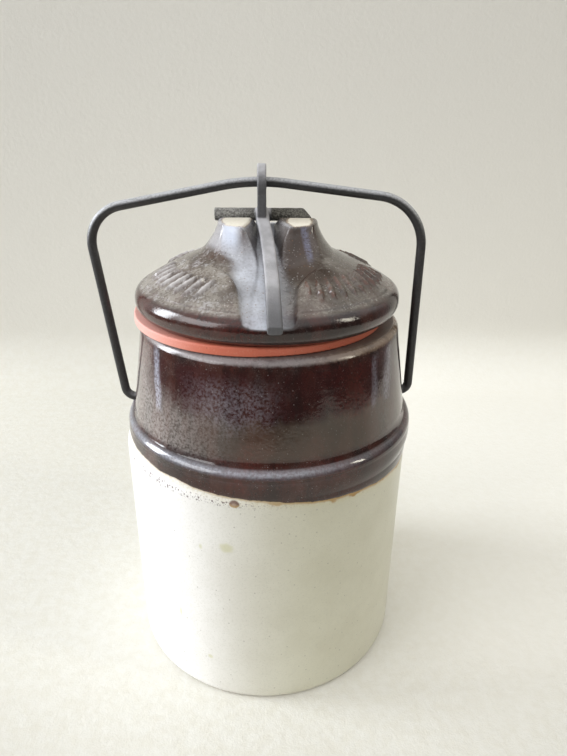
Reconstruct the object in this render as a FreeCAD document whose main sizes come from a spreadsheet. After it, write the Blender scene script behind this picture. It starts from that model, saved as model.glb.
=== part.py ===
import FreeCAD, Part
import math
import os
import Sketcher

# One-quart stoneware preserving jar: a thrown body with a rolled ridge and a tapering neck,
# a red rubber ring, a domed lid with a carved hub, a wire bail whose pins sit in two blind
# sockets in the neck, and a cast lever that turns on the bail and bears on the lid.
# Millimetres, +Z up, origin at the centre of the foot, the lever's tip towards -Y.

doc = FreeCAD.newDocument("PreservingJar")
sheet = doc.addObject("Spreadsheet::Sheet", "Sizes")

sizes = {
    # white lower body
    "footRadius": (55.1, "flat ring the jar stands on"),
    "footRise": (2.4, "height of the rounded edge of the foot"),
    "footRound": (3.2, "radius of that edge"),
    "bodyRadius": (57.0, "straight wall"),
    "wallTop": (92.0, "where the wall starts to turn in"),
    "shoulderRadius": (56.2, "radius at the top of the turned-in edge"),
    "shoulderHeight": (95.6, "top of the white body"),
    "shoulderRound": (5.2, "radius of the turned-in edge"),
    # brown ridge and neck, thrown a little off the body's centre
    "neckShift": (1.2, "how far the neck stands off centre, towards +X"),
    "neckBase": (90.0, "bottom of the neck's clay inside the body"),
    "ridgeFoot": (56.0, "radius where the ridge leaves the body"),
    "ridgeRound": (8.5, "radius of the rolled ridge"),
    "creaseRadius": (54.2, "radius in the crease above the ridge"),
    "creaseHeight": (105.0, "height of the crease"),
    "neckTopRadius": (48.8, "radius below the rounded mouth"),
    "neckTopHeight": (138.6, "height below the rounded mouth"),
    "mouthRadius": (46.0, "outer radius of the flat seat"),
    "mouthHeight": (141.4, "height of the flat seat"),
    "mouthRound": (3.6, "radius of the rounded mouth"),
    # blind sockets for the bail
    "hingeHeight": (107.05, "height of the bail's axis at the middle of the jar"),
    "hingeSlope": (0.0221, "rise of that axis for each millimetre towards +X"),
    "socketRadius": (2.15, "radius of a socket"),
    "socketLeft": (-47.8, "closed end of the left socket"),
    "socketRight": (48.8, "closed end of the right socket"),
    "socketReach": (14.0, "length of the drill that cuts a socket"),
    # rubber ring
    "ringShift": (-2.9, "how far the ring is pushed towards -X"),
    "ringInner": (38.0, "inner radius"),
    "ringOuter": (46.6, "outer radius"),
    "ringTop": (144.6, "top face, which carries the lid"),
    "ringRound": (0.6, "radius of the ring's long edges"),
    # lid
    "lidShift": (0.4, "how far the lid stands off centre, towards +X"),
    "bossRadius": (34.2, "low boss that keeps the lid inside the ring"),
    "bossBottom": (141.7, "underside of the boss"),
    "underRadius": (45.4, "outer radius of the flat underside"),
    "lidRadius": (49.0, "widest radius, at the middle of the rolled rim"),
    "lidWidest": (149.9, "height of the widest radius"),
    "rimUnderRound": (5.2, "radius below the widest line"),
    "rimTopRadius": (45.7, "radius at the top of the rolled rim"),
    "rimTopHeight": (154.6, "height at the top of the rolled rim"),
    "rimTopRound": (4.9, "radius above the widest line"),
    "grooveRadius": (45.2, "bottom of the fine groove inside the rim"),
    "grooveHeight": (154.9, "height of that groove"),
    "domeRadius": (44.9, "radius where the dome starts"),
    "domeHeight": (155.8, "height where the dome starts"),
    "domeRound": (170.0, "radius of the dome's gentle swell"),
    "hubFootRadius": (24.6, "radius at the foot of the hub"),
    "hubFootHeight": (165.4, "height at the foot of the hub"),
    "hubFlare": (24.0, "radius of the hub's hollow flank"),
    "hubNeckRadius": (18.1, "radius below the hub's rounded top edge"),
    "hubNeckHeight": (175.0, "height below the hub's rounded top edge"),
    "hubTopRadius": (16.2, "radius of the flat top of the hub"),
    "hubTopHeight": (177.0, "height of the hub"),
    "hubTopRound": (2.1, "radius of the hub's top edge"),
    # channel between the two horns of the hub, and the dished recess in front of them
    "channelFront": (-56.0, "start of the channel, in front of the rim"),
    "channelBack": (2.0, "end of the channel, in the seat of the crossbar"),
    "channelFloorFront": (148.4, "floor at the front"),
    "channelFloorBack": (174.7, "floor at the back"),
    "channelFloorHalf": (5.0, "half the floor's width at the back"),
    "channelFrontHalf": (6.8, "half the floor's width at the front"),
    "channelTopHalf": (7.6, "half the width at the hub's top"),
    "channelOpenHalf": (8.0, "half the width high above the front"),
    "channelTop": (186.0, "height at which the cut ends, clear of the hub"),
    "dishFront": (-58.0, "start of the recess"),
    "dishTipHalf": (7.0, "half the recess's width at the rim"),
    "dishWaist": (-36.0, "place where the recess starts to widen"),
    "dishWaistHalf": (8.2, "half its width there"),
    "dishWide": (-21.0, "place where the recess is widest"),
    "dishWideHalf": (17.6, "half its greatest width"),
    "dishBack": (-9.0, "end of the recess, under the tops of the horns"),
    "dishBackHalf": (15.2, "half its width there"),
    "dishSweep": (17.0, "radius of the fan's curved sides"),
    "dishBend": (-22.4, "place where the floor turns up into the horns"),
    "dishBendHeight": (164.1, "floor height there"),
    "dishFloorFront": (147.9, "floor height at the start of the recess"),
    "hornFront": (-11.6, "front edge of the horns' tops"),
    "hornRound": (16.0, "radius of the hollow front of the horns"),
    # open seat across the hub for the crossbar
    "seatFront": (0.3, "back faces of the horns"),
    "seatFloor": (174.8, "floor at the horns"),
    "seatBack": (32.0, "behind the hub"),
    "seatFloorBack": (170.8, "floor behind the hub"),
    "seatHalf": (30.0, "half the width of the cut"),
    # bail
    "wireRadius": (1.7, "radius of the wire"),
    "pinLeft": (-48.6, "end of the left pin"),
    "pinRight": (49.6, "end of the right pin"),
    "legLeft": (-56.8, "foot of the left leg"),
    "legRight": (57.7, "foot of the right leg"),
    "footBendLeft": (4.2, "bend between left pin and leg"),
    "footBendRight": (3.6, "bend between right pin and leg"),
    "cornerLeft": (-64.8, "meeting point of left leg and top"),
    "cornerLeftHeight": (178.3, "its height"),
    "cornerLeftRound": (14.0, "bend there"),
    "peakLeft": (-4.7, "meeting point of the two halves of the top"),
    "peakHeight": (190.1, "its height"),
    "peakRound": (75.0, "gentle bend there"),
    "cornerRight": (56.9, "meeting point of top and right leg"),
    "cornerRightHeight": (182.8, "its height"),
    "cornerRightRound": (18.5, "bend there"),
    # lever
    "crownLeft": (-1.7, "middle of the lever's eye along the wire"),
    "crownHeight": (189.16, "axis of the lever's eye"),
    "eyeRadius": (6.2, "outer radius of the eye"),
    "eyeHole": (2.1, "radius of the hole for the wire"),
    "shankWidth": (3.1, "thickness of eye and shank"),
    "shankFront": (-5.2, "front of the shank below the eye"),
    "shankBack": (5.0, "back of the shank below the eye"),
    "shankTop": (187.0, "top of the straight shank"),
    "heelFront": (-4.0, "front of the shank at the arm"),
    "heelFrontHeight": (175.2, "underside of the shank at the arm"),
    "heelBack": (4.6, "back of the shank at the crossbar"),
    "heelBackHeight": (176.2, "underside of the shank at the crossbar"),
    "barBack": (3.1, "axis of the crossbar, behind the eye"),
    "barHeight": (177.7, "height of the crossbar's axis"),
    "barRadius": (2.3, "radius of the crossbar"),
    "barLeft": (-18.9, "left end"),
    "barRight": (16.5, "right end"),
    "barBevel": (3.2, "bevel on the right end"),
    "armStart": (2.2, "start of the arm, inside the heel"),
    "armStartHeight": (178.6, "height of its middle there"),
    "armWidth": (4.8, "width of the arm"),
    "armDepth": (3.6, "depth of the arm at the heel"),
    "tipReach": (-52.5, "front end of the arm"),
    "tipHeight": (152.15, "height of its middle there"),
    "tipShift": (3.6, "how far the arm turns towards +X"),
    "tipDepth": (2.7, "depth of the arm at the tip"),
    "armRound": (0.8, "rounding of the arm's long edges"),
}

for row, (alias, (value, note)) in enumerate(sizes.items(), start=1):
    sheet.set(f"A{row}", alias)
    sheet.set(f"B{row}", str(value))
    sheet.set(f"C{row}", note)
    sheet.setAlias(f"B{row}", alias)
doc.recompute()


def amount(word):
    """Value of one word of a formula: a number, or an alias of the sheet."""
    return float(word) if word.replace(".", "").isdigit() else float(sheet.get(word))


def worth(formula):
    """Value of a formula made of words joined by + - * and /."""
    total, sign, term = 0.0, 1.0, 0.0
    words = formula.split()
    for place, word in enumerate(words):
        before = words[place - 1] if place else "+"
        if word in ("+", "-", "*", "/"):
            continue
        if before == "*":
            term *= amount(word)
        elif before == "/":
            term /= amount(word)
        else:
            total += sign * term
            sign = -1.0 if before == "-" else 1.0
            term = amount(word)
    return total + sign * term


def linked(formula):
    """The same formula with each alias pointing at the sheet."""
    return " ".join(f"Sizes.{word}" if word[0].isalpha() else word for word in formula.split())


def planeOf(body, role):
    """One of a body's own origin planes or axes."""
    return next(feature for feature in body.Origin.OriginFeatures if feature.Role == role)


def sketchIn(body, label, role, depth=None):
    """An empty sketch on an origin plane, moved along its normal by a formula."""
    sketch = body.newObject("Sketcher::SketchObject", label)
    sketch.AttachmentSupport = [(planeOf(body, role), "")]
    sketch.MapMode = "FlatFace"
    if depth:
        sketch.setExpression("AttachmentOffset.Base.z", linked(depth))
    return sketch


def freeSketch(label, rotation=None):
    """An empty sketch outside any body, for an extrusion."""
    sketch = doc.addObject("Sketcher::SketchObject", label)
    if rotation:
        sketch.Placement = FreeCAD.Placement(FreeCAD.Vector(), rotation)
    return sketch


def outline(sketch, points, arcs=None, closed=True):
    """Draws an outline whose corners and arcs are tied to the sheet.

    points are pairs of formulas. arcs gives, for the number of a stretch, its radius and
    whether it turns left or right.
    """
    arcs = arcs or {}
    places = [FreeCAD.Vector(worth(x), worth(y), 0) for x, y in points]
    count = len(points) if closed else len(points) - 1
    ends = []
    for stretch in range(count):
        start, finish = places[stretch], places[(stretch + 1) % len(places)]
        if stretch not in arcs:
            number = sketch.addGeometry(Part.LineSegment(start, finish), False)
            ends.append((number, 1, 2))
            continue
        formula, turn = arcs[stretch]
        radius = worth(formula)
        chord = finish - start
        lift = math.sqrt(radius ** 2 - (chord.Length / 2) ** 2)
        toLeft = FreeCAD.Vector(-chord.y, chord.x, 0).normalize()
        side = 1 if turn == "left" else -1
        centre = (start + finish) * 0.5 + toLeft * lift * side
        first, last = (start, finish) if side == 1 else (finish, start)
        fromAngle = math.atan2(first.y - centre.y, first.x - centre.x)
        toAngle = math.atan2(last.y - centre.y, last.x - centre.x)
        if toAngle < fromAngle:
            toAngle += 2 * math.pi
        circle = Part.Circle(centre, FreeCAD.Vector(0, 0, 1), radius)
        number = sketch.addGeometry(Part.ArcOfCircle(circle, fromAngle, toAngle), False)
        ends.append((number, 1, 2) if side == 1 else (number, 2, 1))
        index = sketch.addConstraint(Sketcher.Constraint("Radius", number, radius))
        sketch.setExpression(f"Constraints[{index}]", linked(formula))
    for stretch in range(count if closed else count - 1):
        here, after = ends[stretch], ends[(stretch + 1) % count]
        sketch.addConstraint(Sketcher.Constraint("Coincident", here[0], here[2], after[0], after[1]))
    for corner, formulas in enumerate(points):
        if corner < count:
            number, vertex = ends[corner][0], ends[corner][1]
        else:
            number, vertex = ends[-1][0], ends[-1][2]
        for kind, axis, formula in zip(("DistanceX", "DistanceY"), (-2, -1), formulas):
            if formula == "0":
                sketch.addConstraint(Sketcher.Constraint("PointOnObject", number, vertex, axis))
                continue
            index = sketch.addConstraint(
                Sketcher.Constraint(kind, -1, 1, number, vertex, worth(formula)))
            sketch.setExpression(f"Constraints[{index}]", linked(formula))


def revolved(label, points, arcs, shift=None):
    """A body turned about the upright axis, moved sideways by a formula."""
    body = doc.addObject("PartDesign::Body", label)
    sketch = sketchIn(body, f"{label}_profile", "XZ_Plane")
    outline(sketch, points, arcs)
    turn = body.newObject("PartDesign::Revolution", f"{label}_turned")
    turn.Profile = sketch
    turn.ReferenceAxis = (sketch, ["V_Axis"])
    turn.Angle = 360
    if shift:
        body.setExpression("Placement.Base.x", linked(shift))
    return body


def pad(body, label, sketch, length, symmetric=True):
    """A pad of a sketch, to both sides or to one."""
    feature = body.newObject("PartDesign::Pad", label)
    feature.Profile = sketch
    feature.SideType = "Symmetric" if symmetric else "One side"
    feature.setExpression("Length", linked(length))
    return feature


def circleIn(sketch, x, y, radius):
    """A full circle tied to the sheet."""
    middle = FreeCAD.Vector(worth(x), worth(y), 0)
    number = sketch.addGeometry(Part.Circle(middle, FreeCAD.Vector(0, 0, 1), worth(radius)), False)
    index = sketch.addConstraint(Sketcher.Constraint("Radius", number, worth(radius)))
    sketch.setExpression(f"Constraints[{index}]", linked(radius))
    for kind, axis, formula in (("DistanceX", -2, x), ("DistanceY", -1, y)):
        if formula == "0":
            sketch.addConstraint(Sketcher.Constraint("PointOnObject", number, 3, axis))
            continue
        index = sketch.addConstraint(Sketcher.Constraint(kind, -1, 1, number, 3, worth(formula)))
        sketch.setExpression(f"Constraints[{index}]", linked(formula))


def prism(label, sketch, length, direction):
    """A sketch drawn out to both sides, as a cutting tool."""
    tool = doc.addObject("Part::Extrusion", label)
    tool.Base = sketch
    tool.DirMode = "Custom"
    tool.Dir = direction
    tool.Solid = True
    tool.Symmetric = True
    tool.setExpression("LengthFwd", linked(length))
    return tool


sideways = FreeCAD.Rotation(FreeCAD.Vector(1, 1, 1), 120)


def makeJarBody():
    """White body, brown ridge and neck, and the two blind sockets."""
    wall = revolved(
        "wall",
        [("0", "0"), ("footRadius", "0"), ("bodyRadius", "footRise"), ("bodyRadius", "wallTop"),
         ("shoulderRadius", "shoulderHeight"), ("0", "shoulderHeight")],
        {1: ("footRound", "left"), 3: ("shoulderRound", "left")})
    neck = revolved(
        "neck",
        [("0", "neckBase"), ("ridgeFoot", "neckBase"), ("ridgeFoot", "shoulderHeight"),
         ("creaseRadius", "creaseHeight"), ("neckTopRadius", "neckTopHeight"),
         ("mouthRadius", "mouthHeight"), ("0", "mouthHeight")],
        {2: ("ridgeRound", "left"), 4: ("mouthRound", "left")},
        shift="neckShift")
    pot = doc.addObject("Part::MultiFuse", "pot")
    pot.Shapes = [wall, neck]
    pot.Refine = True
    drills = []
    for label, end, side in (("socket_left", "socketLeft", -1), ("socket_right", "socketRight", 1)):
        drill = doc.addObject("Part::Cylinder", label)
        drill.setExpression("Radius", linked("socketRadius"))
        drill.setExpression("Height", linked("socketReach"))
        drill.Placement.Rotation = FreeCAD.Rotation(FreeCAD.Vector(0, 1, 0), 90)
        drill.setExpression("Placement.Rotation.Angle", f"{side * 90} deg - atan(Sizes.hingeSlope)")
        drill.setExpression("Placement.Base.x", linked(end))
        drill.setExpression("Placement.Base.z", linked(f"hingeHeight + {end} * hingeSlope"))
        drills.append(drill)
    tools = doc.addObject("Part::MultiFuse", "socket_tools")
    tools.Shapes = drills
    jar = doc.addObject("Part::Cut", "jar_body")
    jar.Base = pot
    jar.Tool = tools
    return jar


def makeGasket():
    """The rubber ring, with its long edges rounded, pushed a little to one side."""
    return revolved(
        "gasket",
        [("ringInner", "mouthHeight"), ("ringOuter - ringRound", "mouthHeight"),
         ("ringOuter", "mouthHeight + ringRound"), ("ringOuter", "ringTop - ringRound"),
         ("ringOuter - ringRound", "ringTop"), ("ringInner", "ringTop")],
        {1: ("ringRound", "left"), 3: ("ringRound", "left")},
        shift="ringShift")


def makeLid():
    """Boss, rolled rim, dome and flared hub, then the channel, the dished recess and the seat."""
    blank = revolved(
        "lid_blank",
        [("0", "bossBottom"), ("bossRadius", "bossBottom"), ("bossRadius", "ringTop"),
         ("underRadius", "ringTop"), ("lidRadius", "lidWidest"), ("rimTopRadius", "rimTopHeight"),
         ("grooveRadius", "grooveHeight"), ("domeRadius", "domeHeight"),
         ("hubFootRadius", "hubFootHeight"), ("hubNeckRadius", "hubNeckHeight"),
         ("hubTopRadius", "hubTopHeight"), ("0", "hubTopHeight")],
        {3: ("rimUnderRound", "left"), 4: ("rimTopRound", "left"), 7: ("domeRound", "left"),
         8: ("hubFlare", "right"), 9: ("hubTopRound", "left")},
        shift="lidShift")

    # channel with sloping walls, narrow between the horns and wider at the rim
    channel = doc.addObject("PartDesign::Body", "channel")
    ends = []
    for label, place, floor, low, high in (
            ("channel_back", "channelBack", "channelFloorBack", "channelFloorHalf", "channelTopHalf"),
            ("channel_front", "channelFront", "channelFloorFront", "channelFrontHalf",
             "channelOpenHalf")):
        section = sketchIn(channel, label, "XZ_Plane", f"0 - {place}")
        outline(section, [(f"0 - {low}", floor), (low, floor), (high, "channelTop"),
                          (f"0 - {high}", "channelTop")])
        ends.append(section)
    loft = channel.newObject("PartDesign::AdditiveLoft", "channel_loft")
    loft.Profile = ends[0]
    loft.Sections = [ends[1]]
    loft.Ruled = True
    channel.setExpression("Placement.Base.x", linked("lidShift"))

    # fan-shaped recess: its plan, and its floor that turns up into the horns
    plan = freeSketch("dish_plan")
    outline(plan,
            [("0 - dishTipHalf", "dishFront"), ("dishTipHalf", "dishFront"),
             ("dishWaistHalf", "dishWaist"), ("dishWideHalf", "dishWide"),
             ("dishBackHalf", "dishBack"), ("0 - dishBackHalf", "dishBack"),
             ("0 - dishWideHalf", "dishWide"), ("0 - dishWaistHalf", "dishWaist")],
            {2: ("dishSweep", "right"), 6: ("dishSweep", "right")})
    side = freeSketch("dish_side", sideways)
    outline(side,
            [("dishFront", "dishFloorFront"), ("dishBend", "dishBendHeight"),
             ("hornFront", "hubTopHeight + 1"), ("hornFront", "channelTop"),
             ("dishFront", "channelTop")],
            {1: ("hornRound", "left")})
    dish = doc.addObject("Part::Common", "dish")
    dish.Base = prism("dish_upright", plan, "channelTop * 3", FreeCAD.Vector(0, 0, 1))
    dish.Tool = prism("dish_across", side, "seatHalf * 2", FreeCAD.Vector(1, 0, 0))

    # seat across the hub, open to the back
    seatSide = freeSketch("seat_side", sideways)
    outline(seatSide, [("seatFront", "seatFloor"), ("seatBack", "seatFloorBack"),
                       ("seatBack", "channelTop"), ("seatFront", "channelTop")])
    seat = prism("seat", seatSide, "seatHalf * 2", FreeCAD.Vector(1, 0, 0))

    tools = doc.addObject("Part::MultiFuse", "hub_tools")
    tools.Shapes = [channel, dish, seat]
    lid = doc.addObject("Part::Cut", "lid")
    lid.Base = blank
    lid.Tool = tools
    return lid


def makeBail():
    """One wire: pin, leg, arched top, leg, pin, with a bend at each corner."""
    route = [("pinLeft", "hingeHeight + pinLeft * hingeSlope"),
             ("legLeft", "hingeHeight + legLeft * hingeSlope"),
             ("cornerLeft", "cornerLeftHeight"), ("peakLeft", "peakHeight"),
             ("cornerRight", "cornerRightHeight"),
             ("legRight", "hingeHeight + legRight * hingeSlope"),
             ("pinRight", "hingeHeight + pinRight * hingeSlope")]
    bends = ["footBendLeft", "cornerLeftRound", "peakRound", "cornerRightRound", "footBendRight"]
    places = [FreeCAD.Vector(worth(x), 0, worth(z)) for x, z in route]
    edges, last = [], places[0]
    for number, bend in enumerate(bends, start=1):
        corner, radius = places[number], worth(bend)
        back = (places[number - 1] - corner).normalize()
        ahead = (places[number + 1] - corner).normalize()
        half = math.acos(back.dot(ahead)) / 2
        enter = corner + back * (radius / math.tan(half))
        leave = corner + ahead * (radius / math.tan(half))
        top = corner + (back + ahead).normalize() * (radius / math.sin(half) - radius)
        edges.append(Part.LineSegment(last, enter).toShape())
        edges.append(Part.Arc(enter, top, leave).toShape())
        last = leave
    edges.append(Part.LineSegment(last, places[-1]).toShape())
    path = doc.addObject("Part::Feature", "bail_path")
    path.Shape = Part.Wire(edges)

    section = doc.addObject("Part::Circle", "bail_section")
    section.setExpression("Radius", linked("wireRadius"))
    section.Placement.Rotation = FreeCAD.Rotation(FreeCAD.Vector(0, 1, 0), 90)
    section.setExpression("Placement.Rotation.Angle", "90 deg - atan(Sizes.hingeSlope)")
    section.setExpression("Placement.Base.x", linked(route[0][0]))
    section.setExpression("Placement.Base.z", linked(route[0][1]))
    bail = doc.addObject("Part::Sweep", "bail")
    bail.Sections = [section]
    bail.Spine = (path, [f"Edge{number + 1}" for number in range(len(edges))])
    bail.Solid = True
    return bail


def makeLever():
    """Eye and shank, crossbar with its bevelled end, and the long arm."""
    body = doc.addObject("PartDesign::Body", "lever")
    body.setExpression("Placement.Base.x", linked("crownLeft"))
    eye = sketchIn(body, "eye_outline", "YZ_Plane")
    circleIn(eye, "0", "crownHeight", "eyeRadius")
    pad(body, "eye", eye, "shankWidth")
    shank = sketchIn(body, "shank_outline", "YZ_Plane")
    outline(shank, [("shankFront", "shankTop"), ("heelFront", "heelFrontHeight"),
                    ("heelBack", "heelBackHeight"), ("shankBack", "shankTop")])
    pad(body, "shank", shank, "shankWidth")
    bar = sketchIn(body, "bar_outline", "YZ_Plane", "barLeft - crownLeft")
    circleIn(bar, "barBack", "barHeight", "barRadius")
    pad(body, "bar", bar, "barRight - barLeft", symmetric=False)
    sections = []
    for label, place, shift, height, depth in (
            ("arm_root", "armStart", "0", "armStartHeight", "armDepth"),
            ("arm_tip", "tipReach", "tipShift", "tipHeight", "tipDepth")):
        section = sketchIn(body, label, "XZ_Plane", f"0 - {place}")
        west, east = f"{shift} - armWidth / 2", f"{shift} + armWidth / 2"
        low, high = f"{height} - {depth} / 2", f"{height} + {depth} / 2"
        outline(section,
                [(f"{west} + armRound", low), (f"{east} - armRound", low),
                 (east, f"{low} + armRound"), (east, f"{high} - armRound"),
                 (f"{east} - armRound", high), (f"{west} + armRound", high),
                 (west, f"{high} - armRound"), (west, f"{low} + armRound")],
                {number: ("armRound", "left") for number in (1, 3, 5, 7)})
        sections.append(section)
    arm = body.newObject("PartDesign::AdditiveLoft", "arm")
    arm.Profile = sections[0]
    arm.Sections = [sections[1]]
    bevel = sketchIn(body, "bevel_outline", "XZ_Plane")
    outline(bevel, [("barRight - crownLeft - barBevel", "barHeight + barRadius"),
                    ("barRight - crownLeft + 1", "barHeight - barRadius"),
                    ("barRight - crownLeft + 1", "barHeight + barRadius + 1"),
                    ("barRight - crownLeft - barBevel", "barHeight + barRadius + 1")])
    cut = body.newObject("PartDesign::Pocket", "bevel")
    cut.Profile = bevel
    cut.Type = "ThroughAll"
    cut.SideType = "Symmetric"
    hole = sketchIn(body, "eye_hole_outline", "YZ_Plane")
    circleIn(hole, "0", "crownHeight", "eyeHole")
    bore = body.newObject("PartDesign::Pocket", "eye_hole")
    bore.Profile = hole
    bore.Type = "ThroughAll"
    bore.SideType = "Symmetric"
    return body


pieces = [makeJarBody(), makeGasket(), makeLid(), makeBail(), makeLever()]
doc.recompute()

for feature in doc.Objects:
    if {"Invalid", "Error"} & set(feature.State):
        raise RuntimeError(f"{feature.Label} failed: {feature.State}")

os.makedirs("parts", exist_ok=True)
for piece in pieces:
    shape = piece.Shape
    if shape.isNull() or not shape.isValid() or len(shape.Solids) != 1:
        raise RuntimeError(f"{piece.Label} is not one valid solid")
    print(f"{piece.Label}: {shape.Volume / 1000:.1f} cm3, {len(shape.Faces)} faces")
    shape.exportStep(f"parts/{piece.Label}.step")
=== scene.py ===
import math

import bmesh
import bpy
from mathutils import Matrix, Vector, noise


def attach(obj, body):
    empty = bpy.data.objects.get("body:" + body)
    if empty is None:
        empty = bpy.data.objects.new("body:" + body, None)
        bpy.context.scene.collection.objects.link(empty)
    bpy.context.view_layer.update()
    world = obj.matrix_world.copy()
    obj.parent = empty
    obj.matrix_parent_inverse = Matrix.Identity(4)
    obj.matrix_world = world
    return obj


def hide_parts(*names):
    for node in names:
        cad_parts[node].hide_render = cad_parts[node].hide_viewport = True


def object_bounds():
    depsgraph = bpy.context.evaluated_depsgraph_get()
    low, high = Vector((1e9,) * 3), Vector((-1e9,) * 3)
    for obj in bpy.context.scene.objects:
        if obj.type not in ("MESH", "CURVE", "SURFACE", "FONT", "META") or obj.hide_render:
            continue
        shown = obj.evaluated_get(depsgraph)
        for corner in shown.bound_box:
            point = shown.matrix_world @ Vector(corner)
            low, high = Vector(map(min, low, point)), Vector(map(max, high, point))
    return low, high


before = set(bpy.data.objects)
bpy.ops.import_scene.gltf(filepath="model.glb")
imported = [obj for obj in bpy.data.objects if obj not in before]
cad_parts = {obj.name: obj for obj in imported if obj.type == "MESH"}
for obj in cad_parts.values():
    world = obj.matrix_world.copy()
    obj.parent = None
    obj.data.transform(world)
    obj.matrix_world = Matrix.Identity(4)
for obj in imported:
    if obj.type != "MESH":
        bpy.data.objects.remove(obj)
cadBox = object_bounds()
mm = 0.001
scene = bpy.context.scene
scene.view_settings.view_transform = "Standard"


class Value:                                    # one output socket, used in Python expressions
    def __init__(self, graph, socket):
        self.graph = graph
        self.socket = socket

    def __add__(self, other):
        return self.graph.maths("ADD", self, other)

    def __radd__(self, other):
        return self.graph.maths("ADD", other, self)

    def __sub__(self, other):
        return self.graph.maths("SUBTRACT", self, other)

    def __rsub__(self, other):
        return self.graph.maths("SUBTRACT", other, self)

    def __mul__(self, other):
        return self.graph.maths("MULTIPLY", self, other)

    def __rmul__(self, other):
        return self.graph.maths("MULTIPLY", other, self)

    def __truediv__(self, other):
        return self.graph.maths("DIVIDE", self, other)

    def __pow__(self, other):
        return self.graph.maths("POWER", self, other)

    def __neg__(self):
        return self.graph.maths("MULTIPLY", self, -1.0)

    def also(self, name):                       # another output of the same node
        return Value(self.graph, self.socket.node.outputs[name])


class Graph:
    def __init__(self, tree):
        self.tree = tree
        tree.nodes.clear()

    def add(self, kind, settings=None, inputs=None, output=0):
        node = self.tree.nodes.new(kind)
        for name, value in (settings or {}).items():
            if name == "stops":
                self.setStops(node.color_ramp, value)
            else:
                setattr(node, name, value)
        for name, value in (inputs or {}).items():
            if isinstance(value, Value):
                self.tree.links.new(value.socket, node.inputs[name])
            else:
                node.inputs[name].default_value = value
        return Value(self, node.outputs[output]) if node.outputs else node

    def setStops(self, ramp, stops):
        while len(ramp.elements) < len(stops):
            ramp.elements.new(1.0)
        for element, (place, color) in zip(ramp.elements, stops):
            element.position = place
            element.color = color

    def maths(self, operation, *values):
        return self.add("ShaderNodeMath", {"operation": operation}, dict(enumerate(values)))

    def least(self, a, b):
        return self.maths("MINIMUM", a, b)

    def most(self, a, b):
        return self.maths("MAXIMUM", a, b)

    def size(self, a):
        return self.maths("ABSOLUTE", a)

    def ease(self, value, low, high, start=0.0, end=1.0):      # smooth step from low to high
        return self.add("ShaderNodeMapRange", {"interpolation_type": "SMOOTHSTEP"},
                        {"Value": value, "From Min": low, "From Max": high,
                         "To Min": start, "To Max": end})

    def ramp(self, value, low, high):           # straight from 0 at low to 1 at high
        return self.add("ShaderNodeMapRange", None,
                        {"Value": value, "From Min": low, "From Max": high})

    def vector(self, operation, *values, output=0):
        return self.add("ShaderNodeVectorMath", {"operation": operation}, dict(enumerate(values)),
                        output)

    def inMillimetres(self, vector):
        scaled = self.vector("SCALE", vector)
        scaled.socket.node.inputs["Scale"].default_value = 1.0 / mm
        return scaled

    def apart(self, place, centre, stretch=(1.0, 1.0, 1.0)):
        # distance from a centre, each axis stretched by its own amount
        gap = self.vector("MULTIPLY", self.vector("SUBTRACT", place, centre), stretch)
        return self.vector("LENGTH", gap, output="Value")

    def split(self, vector):
        x = self.add("ShaderNodeSeparateXYZ", None, {0: vector})
        return x, x.also("Y"), x.also("Z")

    def join(self, x=0.0, y=0.0, z=0.0):
        return self.add("ShaderNodeCombineXYZ", None, {"X": x, "Y": y, "Z": z})

    def noise(self, vector, scale, detail=2.0, roughness=0.5, distortion=0.0):
        return self.add("ShaderNodeTexNoise", None,
                        {"Vector": vector, "Scale": scale, "Detail": detail,
                         "Roughness": roughness, "Distortion": distortion})

    def cells(self, vector, scale):             # distance to the nearest cell's middle
        return self.add("ShaderNodeTexVoronoi", None, {"Vector": vector, "Scale": scale}, "Distance")


class Shader(Graph):                            # a material, its place in millimetres at hand
    def __init__(self, name):
        self.material = bpy.data.materials.new(name)
        self.material.use_nodes = True
        super().__init__(self.material.node_tree)
        coords = self.add("ShaderNodeTexCoord", output="Object")
        self.place = self.inMillimetres(coords)
        self.x, self.y, self.z = self.split(self.place)
        self.up = self.split(coords.also("Normal"))[2]        # 1 where the surface faces up

    def attribute(self, name):
        return self.add("ShaderNodeAttribute", {"attribute_name": name}, output="Fac")

    def blend(self, factor, first, second):     # colours
        return self.add("ShaderNodeMix", {"data_type": "RGBA"},
                        {"Factor": factor, 6: first, 7: second}, output=2)

    def dots(self, scale, radius, share, soft=0.3):
        # round specks: scale cells a millimetre, radius as a part of a cell, share of cells filled
        gap = self.cells(self.place, scale)
        chance = self.split(gap.also("Color"))[0]
        inside = self.ease(gap, radius, radius * (1.0 - soft))
        return inside * self.maths("LESS_THAN", chance, share)

    def patches(self, scale, detail, roughness, low, high):     # noise, eased between two levels
        return self.ease(self.noise(self.place, scale, detail, roughness), low, high)

    def finish(self, constants, inputs, height, depth):         # height's unit is depth, in mm
        bump = self.add("ShaderNodeBump", None,
                        {"Height": height, "Distance": depth * mm, "Strength": 1.0})
        surface = self.add("ShaderNodeBsdfPrincipled", None, {**constants, **inputs, "Normal": bump})
        self.add("ShaderNodeOutputMaterial", None, {"Surface": surface})
        return self.material


def gray(value, warm=0.0):
    return (value + warm, value, value - warm, 1.0)


view = {
    "place": (0.0, -0.21059, 0.20785),
    "pitch": 24.066,
    "yaw": 1.831,
    "roll": 0.666,
    "lens": 27.095,
    "sensor": 36.0,
    "nearest": 0.01,
}


def makeCamera():
    lens = bpy.data.cameras.new("camera")
    lens.lens = view["lens"]
    lens.sensor_width = view["sensor"]
    lens.clip_start = view["nearest"]
    camera = bpy.data.objects.new("camera", lens)
    turn = (Matrix.Rotation(math.radians(-view["yaw"]), 4, "Z")
            @ Matrix.Rotation(math.radians(90.0 - view["pitch"]), 4, "X")
            @ Matrix.Rotation(math.radians(view["roll"]), 4, "Z"))
    camera.matrix_world = Matrix.Translation(view["place"]) @ turn
    scene.collection.objects.link(camera)
    scene.camera = camera


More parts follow.
